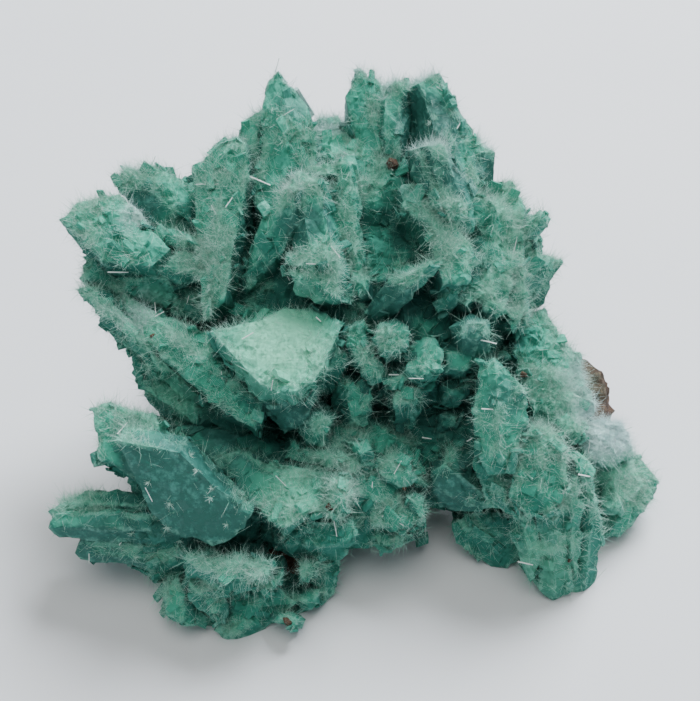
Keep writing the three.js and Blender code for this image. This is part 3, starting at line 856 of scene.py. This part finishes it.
@dataclass
class CrystalCluster:
    """The fan of crystals: the solid's forms with a chipped, radiating skin.

    Each row of its patches gives a Patch: across, up, near, radius and strength.
    """

    edge: float = 1.15
    root: tuple[float, float, float] = (-2.0, 6.0, 4.0)
    chip: float = 2.6
    chip_tilt: float = 0.18
    chip_tilt_limit: float = 1.6
    chip_step: float = 0.2
    chip_seed: int = 7
    swell: float = 0.2
    swell_size: float = 6
    clump_size: float = 5.0
    tuft_size: float = 1.7
    cover_reach: float = 14
    patches: tuple[tuple[Kind, tuple[tuple[float, ...], ...]], ...] = (
        (Kind.PALE, (
            # Pale faces; the patch at -28, -8 lightens a face that lies in shade under the overhang, so
            # there it is painted light.
            (-11.5, 2, 20, 9.5, 1.0), (-28, -8, 11, 6, 0.35), (33, -35, 11, 8, 0.35), (46, -22, 4, 7, 0.4),
            (-33, 6, 11, 6, 0.4), (-10, -23, 17, 6, 0.35),
        )),
        (Kind.BARE, (
            (-27, -22, 21, 13, 1.0), (-36, -18, 21, 6, 0.9), (13, 37, 9, 8, 0.9), (12, 29, 14, 6, 0.8),
            (17, 29, 14, 6, 0.9), (22, 30, 5, 5, 0.9), (-7, 21, 17, 5, 0.7), (-4, 29, 8, 4, 0.8),
            (-34, 25, 4, 5, 0.7), (-38, 18, 9, 6, 0.6), (-10, 41, 11, 5, 0.5), (21, 15, 12, 5, 0.6),
            (26, -8, 18, 5, 0.5), (-20, -13, 10, 6, 0.8), (-41, -31, 13, 9, 0.6), (20, 4, 15, 5, 0.8),
            (7, 8, 15, 6, 0.8), (17, -23, 9, 6, 0.8), (-10, -10, 16, 5, 0.8),
        )),
        (Kind.WOOLLY, (
            (41, -14, 4, 9, 1.0), (45, -21, 6, 6, 0.8), (-33, 7, 11, 7, 0.7), (22, -31, 6, 7, 0.6),
            (34, -4, 4, 9, 0.6), (-9, -23, 17, 10, 1.0), (0, 20, 12, 5, 0.8), (-22, 15, 12, 7, 0.7),
            (-4, 36, 0, 7, 0.8), (12, 24, 14, 6, 0.7), (-38, -10, 18, 7, 0.8), (-20, -34, 19, 7, 0.5),
            (-36, 30, 5, 7, 0.9),
        )),
        (Kind.FROSTY, (
            (42, -13, 4, 10, 1.0), (-34, 7, 11, 6, 0.7), (37, -4, 3, 6, 0.6), (-5, 42, 3, 7, 1.0),
            (-36, 22, 9, 5, 0.7),
        )),
    )

    def marked(self, points: Array, kind: Kind) -> Array:
        """How much each point belongs to the patches of a kind."""
        rows = dict(self.patches)[kind]
        return np.max([Patch(*row).weight(points) for row in rows], axis=0)

    def chips(self, points: Array, smooth: Array) -> Array:
        """Height of the broken skin, in chips drawn out along the radiating blades.

        Args:
            points: The surface's points.
            smooth: How smooth each point is.

        Returns:
            The height of each point, in millimetres.
        """
        outward = points - np.array(self.root)
        radius = np.linalg.norm(outward, axis=1, keepdims=True)
        warped = outward / radius * (40 + 0.4 * radius)
        rng = np.random.default_rng(self.chip_seed)
        low, high = warped.min(axis=0) - 2, warped.max(axis=0) + 2
        seeds = rng.uniform(low, high, (int(np.prod(high - low) / self.chip ** 3), 3))
        owner = nearest(warped, seeds)[0]
        lean = rng.normal(size=seeds.shape)
        step = rng.uniform(-1, 1, len(seeds))
        tilt = np.einsum("nk,nk->n", warped - seeds[owner], lean[owner])
        tilt = np.clip(tilt, -self.chip_tilt_limit, self.chip_tilt_limit)
        return (self.chip_tilt * tilt + self.chip_step * step[owner]) * (1 - 0.78 * smooth)

    def build(self) -> Skin:
        """The dressed surface of the cluster.

        Returns:
            The surface, with the marks that its material and its coats read.
        """
        skin = refined("crystal_cluster", self.edge)
        bare = self.marked(skin.points, Kind.BARE)
        pale = self.marked(skin.points, Kind.PALE)
        skin.marks["tone"] = cloud(skin.normals, 0.45, 4.0, 2)
        smooth = np.maximum(bare, pale)
        swells = self.swell * cloud(skin.points, self.swell_size) * (1 - 0.6 * smooth)
        height = self.chips(skin.points, smooth) + swells
        height = height * smooth_step(skin.points[:, 2], 0.1, 1.6)
        skin.points = skin.points + skin.normals * height[:, None]
        skin.lift(0)
        self.dress(skin, bare, pale)
        return skin

    def dress(self, skin: Skin, bare: Array, pale: Array) -> None:
        """Marks where the crust, the white frosting with its painted highlight, the openness that sets the
        painted shade and the tufts are.

        Args:
            skin: The worked surface.
            bare: How bare each point is.
            pale: How pale each point is.
        """
        free, sky = openness(skin, self.cover_reach)
        up = smooth_step(skin.normals @ UPWARD, 0.15, 0.85)
        high = smooth_step((skin.points - np.array(SIGHT.centre)) @ SIGHT.axes[1], 16, 34)
        away = 1 - smooth_step(skin.normals @ SIGHT.axes[2], 0.25, 0.75)
        clumps = cloud(skin.points, self.clump_size, 31.0)
        tufts = smooth_step(cloud(skin.points, self.tuft_size, 57.0, 2), 0.6, 0.78) * bare
        rim, valley = skin.marks["rim"], skin.marks["valley"]
        crust = 0.04 + 0.6 * rim * (0.35 + 0.65 * up) + 0.3 * valley + 0.22 * up + 0.9 * clumps
        crust = crust + 0.25 * (free - 0.6) + 0.45 * self.marked(skin.points, Kind.WOOLLY)
        crust = crust - 0.6 * bare + 1.1 * tufts
        # Painted highlight, partly real frosting: high sky-facing parts that turn away from the eye, as if
        # lit from behind, plus the frosty patches.
        frost = 0.9 * high * away * sky + 0.9 * self.marked(skin.points, Kind.FROSTY)
        skin.marks |= {
            "open": free,
            "up": up * smooth_step(sky, 0.2, 0.7),
            "bare": bare * (1 - 0.8 * tufts),
            "pale": pale,
            "crust": np.clip(crust, 0, 1.2),
            "frost": np.clip(frost, 0, 1),
        }


@dataclass
class SmallPlates:
    """Small plates of one kind that stand all over the crystals."""

    count: int
    seed: int
    width: tuple[float, float]
    thickness: tuple[float, float]
    length: tuple[float, float]
    rise: float
    wildness: float
    sunk: float
    reach: float
    crust: tuple[float, float] = (0.05, 0.9)

    def spread(self, ends: tuple[float, float], big: Array, rng: Generator) -> Array:
        """One measure of every plate.

        Args:
            ends: The least and the greatest.
            big: How big each plate is, from 0 to 1.
            rng: Source of chance.

        Returns:
            The measure of each plate, in millimetres.
        """
        return (ends[0] + (ends[1] - ends[0]) * big) * rng.uniform(0.8, 1.25, self.count)

    def build(self, base: Skin) -> Skin:
        """The plates as one surface, without those whose tips stand clear of the crystals.

        Args:
            base: The crystals that they stand on.

        Returns:
            The plates, with the marks of what is under them.
        """
        rng = np.random.default_rng(self.seed)
        marks = base.marks
        weight = (1 - marks["bare"]) * (1 - marks["pale"]) * smooth_step(base.points[:, 2], 0.8, 2.5)
        weight = weight * (0.15 + np.maximum(marks["crust"], marks["valley"]))
        feet = base.pick(self.count, weight * (0.3 + marks["open"]), rng)
        outward = feet.points - np.array(CrystalCluster.root)
        outward = outward - feet.normals * np.einsum("nk,nk->n", outward, feet.normals)[:, None]
        wild = self.wildness * rng.normal(size=feet.points.shape)
        along = unit_length(unit_length(outward) + self.rise * feet.normals + wild)
        big = rng.beta(1.3, 3.0, self.count)
        measures = (self.width, self.thickness, self.length)
        sizes = np.stack([self.spread(ends, big, rng) for ends in measures], axis=1)
        facing = feet.normals + 0.6 * rng.permutation(wild)
        tree = base.tree
        tips = feet.points + along * (sizes[:, 2:] - self.sunk)
        kept = np.array([tree.find_nearest(Vector(tip))[3] < self.reach for tip in tips])
        starts = (feet.points - self.sunk * along)[kept]
        plates = swarm(Unit.PLATE, starts, along[kept], sizes[kept], facing[kept])
        plates.lift()
        number = int(kept.sum())
        each = len(plates.points) // number
        plates.marks = {name: np.repeat(values[kept], each) for name, values in feet.marks.items()}
        plates.marks["crust"] = plates.marks["crust"] * rng.uniform(*self.crust, number).repeat(each)
        return plates


@dataclass
class NeedleCoat:
    """A coat of fine needles on the crystals."""

    name: str
    count: int
    seed: int
    length: tuple[float, float]
    thickness: float
    wildness: float
    crust_power: float
    top_bias: float
    sunk: float = 0.15
    lift: float = 0.25

    def weight(self, base: Skin) -> Array:
        """How thickly the coat grows at each point: thick where crusted, open and upward.

        Args:
            base: The surface that it grows on.

        Returns:
            One value a point.
        """
        marks = base.marks
        crust = np.clip(marks["crust"], 0.02, 1.2) ** self.crust_power * (1 - 0.8 * marks["bare"])
        crust = crust * (1 - 0.7 * marks["pale"])
        crust = crust * (1 - self.top_bias + self.top_bias * 1.6 * marks["up"]) * (0.3 + marks["open"])
        return crust * smooth_step(base.points[:, 2], 0.3, 2.0)

    def build(self, base: Skin) -> Object:
        """The coat as one piece.

        Args:
            base: The crystals and small plates that it grows on.

        Returns:
            The piece.
        """
        rng = np.random.default_rng(self.seed)
        feet = base.pick(self.count, self.weight(base), rng)
        lean = rng.normal(size=feet.points.shape)
        along = unit_length(feet.normals + self.wildness * lean + self.lift * UPWARD)
        share = rng.beta(1.3, 2.6, self.count) * (0.55 + 0.6 * feet.marks["crust"])
        long = self.length[0] + (self.length[1] - self.length[0]) * share
        thick = self.thickness * rng.uniform(0.6, 1.3, self.count)
        sizes = np.stack((thick, thick, long + self.sunk), axis=1)
        coat = swarm(Unit.NEEDLE, feet.points - self.sunk * along, along, sizes, rng.permutation(lean))
        each = len(coat.points) // self.count
        shade = np.clip(1.05 - 1.35 * feet.marks["open"] + 0.2 * rng.normal(size=self.count), 0, 0.9)
        # Painted highlight that each needle takes from the crystal under it.
        frost = feet.marks["frost"] * rng.uniform(0.4, 1.2, self.count)
        coat.marks = {
            "tip": np.tile(template(Unit.NEEDLE)[0][:, 2], self.count),
            "shade": np.repeat(shade, each),
            "frost": np.repeat(frost, each),
        }
        coat.lift()
        return coat.object(self.name, NEEDLES)


@dataclass
class Rosettes:
    """Small white stars of needles on the dark bare faces, each placed across and up."""

    placed: tuple[tuple[float, float], ...] = (
        (-30, -25.5), (-30.5, -29.5), (-23, -23), (-25.5, -20), (-23.3, -24.6), (-36.3, -30.5),
        (-28.3, -31.7), (-26.7, -17.5), (-35.8, -34.5), (-11.2, -31.2), (-33.5, -22), (-20.5, -29),
        (13.5, 38), (20, -24.5),
    )
    needles: int = 36
    length: tuple[float, float] = (0.35, 1.3)
    thickness: float = 0.032
    spread: float = 0.75
    sunk: float = 0.1
    near: float = 15
    seed: int = 37

    def build(self, base: Skin) -> Object:
        """The stars as one piece.

        Args:
            base: The surface that they grow on.

        Returns:
            The piece.
        """
        rng = np.random.default_rng(self.seed)
        tree = base.tree
        met = [SIGHT.meet(tree, SIGHT.place(across, up, self.near)) for across, up in self.placed]
        found = [pair for pair in met if pair is not None]
        feet = np.repeat([point - self.sunk * normal for point, normal in found], self.needles, axis=0)
        facing = np.repeat([normal for _, normal in found], self.needles, axis=0)
        lean = rng.normal(size=feet.shape)
        long = rng.uniform(*self.length, len(feet))
        thick = np.full(len(feet), self.thickness)
        sizes = np.stack((thick, thick, long), axis=1)
        stars = swarm(Unit.NEEDLE, feet, facing + self.spread * lean, sizes, rng.permutation(lean))
        blank = np.zeros(len(stars.points))
        tip = np.tile(template(Unit.NEEDLE)[0][:, 2], len(feet))
        stars.marks = {"tip": 0.4 + 0.6 * tip, "shade": blank, "frost": blank}
        stars.lift()
        return stars.object("rosettes", NEEDLES)


@dataclass
class LooseRods:
    """Bright glassy rods that lie loose in the coat.

    Those that are placed have their middle across, up and near, their length and their turn in
    degrees. The extra ones are small and strewn.
    """

    placed: tuple[tuple[float, float, float, float, float], ...] = (
        (22.5, 1.5, 17.5, 3.4, -15), (12.8, -14.4, 12, 1.6, 0), (20.2, -14.7, 11, 1.8, 25),
        (7.3, -4, 16.5, 1.6, 0), (22.8, -9.8, 19, 1.8, -8), (-17, 2.5, 22, 1.9, 35),
        (-38.5, 13, 13, 3.2, 0), (-5.2, 5.2, 21.5, 1.0, -40), (38.8, -20.8, 11, 1.8, -15),
        (29, -35.5, 14.5, 2.4, -22), (-14.8, 28.5, 17, 3.6, -12),
    )
    extra: int = 70
    extra_length: tuple[float, float] = (1.2, 3.2)
    radius: float = 0.11
    seed: int = 23

    def build(self, base: Skin) -> Object:
        """The rods as one piece.

        Args:
            base: The surface that they lie on.

        Returns:
            The piece.
        """
        rng = np.random.default_rng(self.seed)
        right, rise, toward = SIGHT.axes
        tree = base.tree
        feet, along, sizes = [], [], []
        for across, up, near, long, turn in self.placed:
            turn = math.radians(turn)
            way = math.cos(turn) * right + math.sin(turn) * rise
            middle = SIGHT.place(across, up, near)
            met = SIGHT.meet(tree, middle)
            if met is not None:
                middle = met[0] + 0.7 * toward
            feet.append(middle - 0.5 * long * way)
            along.append(way + 0.12 * rng.normal(size=3))
            sizes.append((self.radius, self.radius, long))
        spots = base.pick(self.extra, (0.2 + base.marks["up"]) * base.marks["open"], rng)
        for point, normal in zip(spots.points, spots.normals):
            way = np.cross(normal, rng.normal(size=3))
            way = way / np.linalg.norm(way) + 0.5 * normal * rng.uniform(-0.1, 1)
            feet.append(point + 0.3 * normal)
            along.append(way)
            sizes.append((0.6 * self.radius, 0.6 * self.radius, rng.uniform(*self.extra_length)))
        facing = rng.normal(size=(len(feet), 3))
        rods = swarm(Unit.ROD, np.array(feet), np.array(along), np.array(sizes), facing)
        rods.lift()
        return rods.object("glassy_rods", RodFinish().paint())


@dataclass
class RockGrains:
    """A few dark brown grains caught in the coat, each placed across, up and near, with its width."""

    placed: tuple[tuple[float, float, float, float], ...] = (
        (7, 31, 12, 2.4), (28.8, -4, 18, 1.7), (-3.5, -26, 17, 1.7), (9, -22.8, 13, 0.9),
        (-33, 2.5, 15, 0.7), (36.5, -35, 12, 0.8), (-10.5, -45, 12, 1.6), (-13.5, -47, 11, 1.4),
        (0.6, -34.4, 8, 1.2), (44, -9, 0, 1.4),
    )
    roughness: float = 0.12
    seed: int = 29
    lowest: float = 0.05

    def build(self, base: Skin) -> Object:
        """The grains as one piece.

        Args:
            base: The surface that they sit on.

        Returns:
            The piece.
        """
        rng = np.random.default_rng(self.seed)
        tree = base.tree
        feet, sizes = [], []
        for across, up, near, wide in self.placed:
            met = SIGHT.meet(tree, SIGHT.place(across, up, near))
            if met is None:
                continue
            feet.append(met[0] + 0.25 * wide * SIGHT.axes[2])
            sizes.append(wide * rng.uniform(0.6, 1.15, 3))
        along, facing = rng.normal(size=(2, len(feet), 3))
        grains = swarm(Unit.GRAIN, np.array(feet), along, np.array(sizes), facing)
        grains.points = grains.points + self.roughness * rng.normal(size=grains.points.shape)
        grains.lift(self.lowest)
        grains.marks = {"stain": np.zeros(len(grains.points))}
        return grains.object("rock_grains", ROCK)


@dataclass
class MatrixRock:
    """The brown rock under and behind the crystals."""

    edge: float = 1.4
    lumps: float = 1.0
    grit: float = 0.35
    proud: float = 0.12

    def build(self) -> Object:
        """The rock as one piece, pitted and lumpy, and stained green near the crystals.

        Returns:
            The piece.
        """
        skin = refined("matrix", self.edge)
        rough = np.abs(cloud(skin.points, 7, 3.0, 4)) * -1.6 + cloud(skin.points, 3, 9.0, 3) * 0.5
        height = self.lumps * rough + self.grit * cloud(skin.points, 1.4, 5.0, 2)
        height = np.minimum(height, self.proud) * smooth_step(skin.points[:, 2], 0.05, 1.4)
        skin.points = skin.points + skin.normals * height[:, None]
        skin.lift(0)
        front, top = smooth_step(-skin.points[:, 1], -34, -8), smooth_step(skin.points[:, 2], 8, 26)
        skin.marks["stain"] = top * front
        return skin.object("matrix_rock", ROCK, smooth=True)


@dataclass(frozen=True)
class Lamp:
    """A square soft lamp that points at the specimen, with its place and width in metres."""

    name: str
    place: tuple[float, float, float]
    watts: float
    wide: float
    tint: Tint
    aim: tuple[float, float, float] = (0, 0, 0.02)

    def hang(self) -> None:
        """Adds the lamp to the scene."""
        light = bpy.data.lights.new(self.name, "AREA")
        light.energy, light.size, light.color = self.watts, self.wide, self.tint.linear[:3]
        made = bpy.data.objects.new(self.name, light)
        made.location = self.place
        look = Vector(self.aim) - Vector(self.place)
        made.rotation_euler = look.to_track_quat("-Z", "Y").to_euler()
        bpy.context.scene.collection.objects.link(made)


@dataclass
class Studio:
    """Plain pale floor, soft light and the photograph's view, in metres."""

    floor_half: float = 1.2
    floor_tint: Tint = Tint(222, 225, 228)
    floor_mottle: Tint = Tint(214, 217, 221)
    lamps: tuple[Lamp, ...] = (
        Lamp("window", (0.45, 0.75, 0.95), 42.0, 0.65, Tint(246, 250, 255)),
        Lamp("ceiling", (-0.15, -0.1, 1.2), 8.0, 1.0, Tint(255, 252, 246)),
    )
    room_tint: Tint = Tint(232, 240, 245)
    room_strength: float = 0.32

    def floor(self) -> Object:
        """The floor that the specimen stands on.

        Returns:
            The floor.
        """
        shape = bmesh.new()
        bmesh.ops.create_grid(shape, x_segments=1, y_segments=1, size=self.floor_half)
        mesh = bpy.data.meshes.new("floor")
        shape.to_mesh(mesh)
        shape.free()
        made = bpy.data.objects.new("floor", mesh)
        paint = Paint("pale_floor")
        colour = paint.mix(paint.mottle(60, 3), self.floor_tint, self.floor_mottle)
        sockets = {"Base Color": colour, "Roughness": 0.8, "Specular IOR Level": 0.2}
        mesh.materials.append(paint.finish(sockets))
        bpy.context.scene.collection.objects.link(made)
        return made

    def light(self) -> None:
        """Hangs the lamps and sets the room's even light."""
        for lamp in self.lamps:
            lamp.hang()
        world = bpy.data.worlds.new("room")
        world.use_nodes = True
        background = world.node_tree.nodes["Background"]
        background.inputs["Color"].default_value = self.room_tint.linear
        background.inputs["Strength"].default_value = self.room_strength
        bpy.context.scene.world = world

    def camera(self) -> None:
        """Sets the camera at the photograph's viewing angle."""
        data = bpy.data.cameras.new("view")
        data.lens, data.sensor_width = SIGHT.lens, SIGHT.sensor
        data.clip_start, data.clip_end = 0.01, 10
        made = bpy.data.objects.new("view", data)
        made.location = SIGHT.eye * MM
        made.rotation_euler = (math.pi / 2 - SIGHT.tilt, 0, 0)
        bpy.context.scene.collection.objects.link(made)
        bpy.context.scene.camera = made


PLATES = (
    SmallPlates(260, 10, (1.4, 3.0), (1.0, 2.0), (3.0, 7.5), rise=0.05, wildness=0.1, sunk=1.4, reach=0.5),
    SmallPlates(650, 11, (0.9, 2.6), (0.35, 0.8), (1.2, 3.4), rise=0.16, wildness=0.18, sunk=0.6, reach=0.6),
    SmallPlates(1300, 12, (0.9, 3.2), (0.4, 1.3), (0.9, 3.2), rise=0.7, wildness=0.6, sunk=0.5, reach=1.4),
)
COATS = (
    NeedleCoat("velvet", 40000, 101, (0.3, 1.1), 0.022, wildness=0.8, crust_power=2.4, top_bias=0.7),
    NeedleCoat("fuzz_1", 36000, 103, (0.7, 2.6), 0.025, wildness=0.9, crust_power=1.8, top_bias=0.5),
    NeedleCoat("fuzz_2", 36000, 104, (0.7, 2.8), 0.025, wildness=0.9, crust_power=3.0, top_bias=0.7),
    NeedleCoat("long_needles", 30000, 105, (1.5, 4.4), 0.033, wildness=1.1, crust_power=0.9, top_bias=0.4),
)


def main() -> None:
    """Builds and dresses every piece."""
    logging.basicConfig(level=logging.INFO)
    studio = Studio()
    studio.camera()
    studio.light()
    studio.floor()
    cluster = CrystalCluster().build()
    crystals = cluster.object("crystals", GREEN)
    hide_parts("crystal_cluster")
    plates = joined(*(kind.build(cluster) for kind in PLATES))
    small = plates.object("small_plates", GREEN)
    rock = MatrixRock().build()
    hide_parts("matrix")
    base = joined(cluster, plates)
    pieces = [crystals, small, rock]
    pieces += [coat.build(base) for coat in COATS]
    pieces += [Rosettes().build(base), LooseRods().build(base), RockGrains().build(base)]
    for piece in pieces:
        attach(piece, "root")
        LOG.info("%s: %d faces", piece.name, len(piece.data.polygons))


if __name__ == "__main__":
    main()
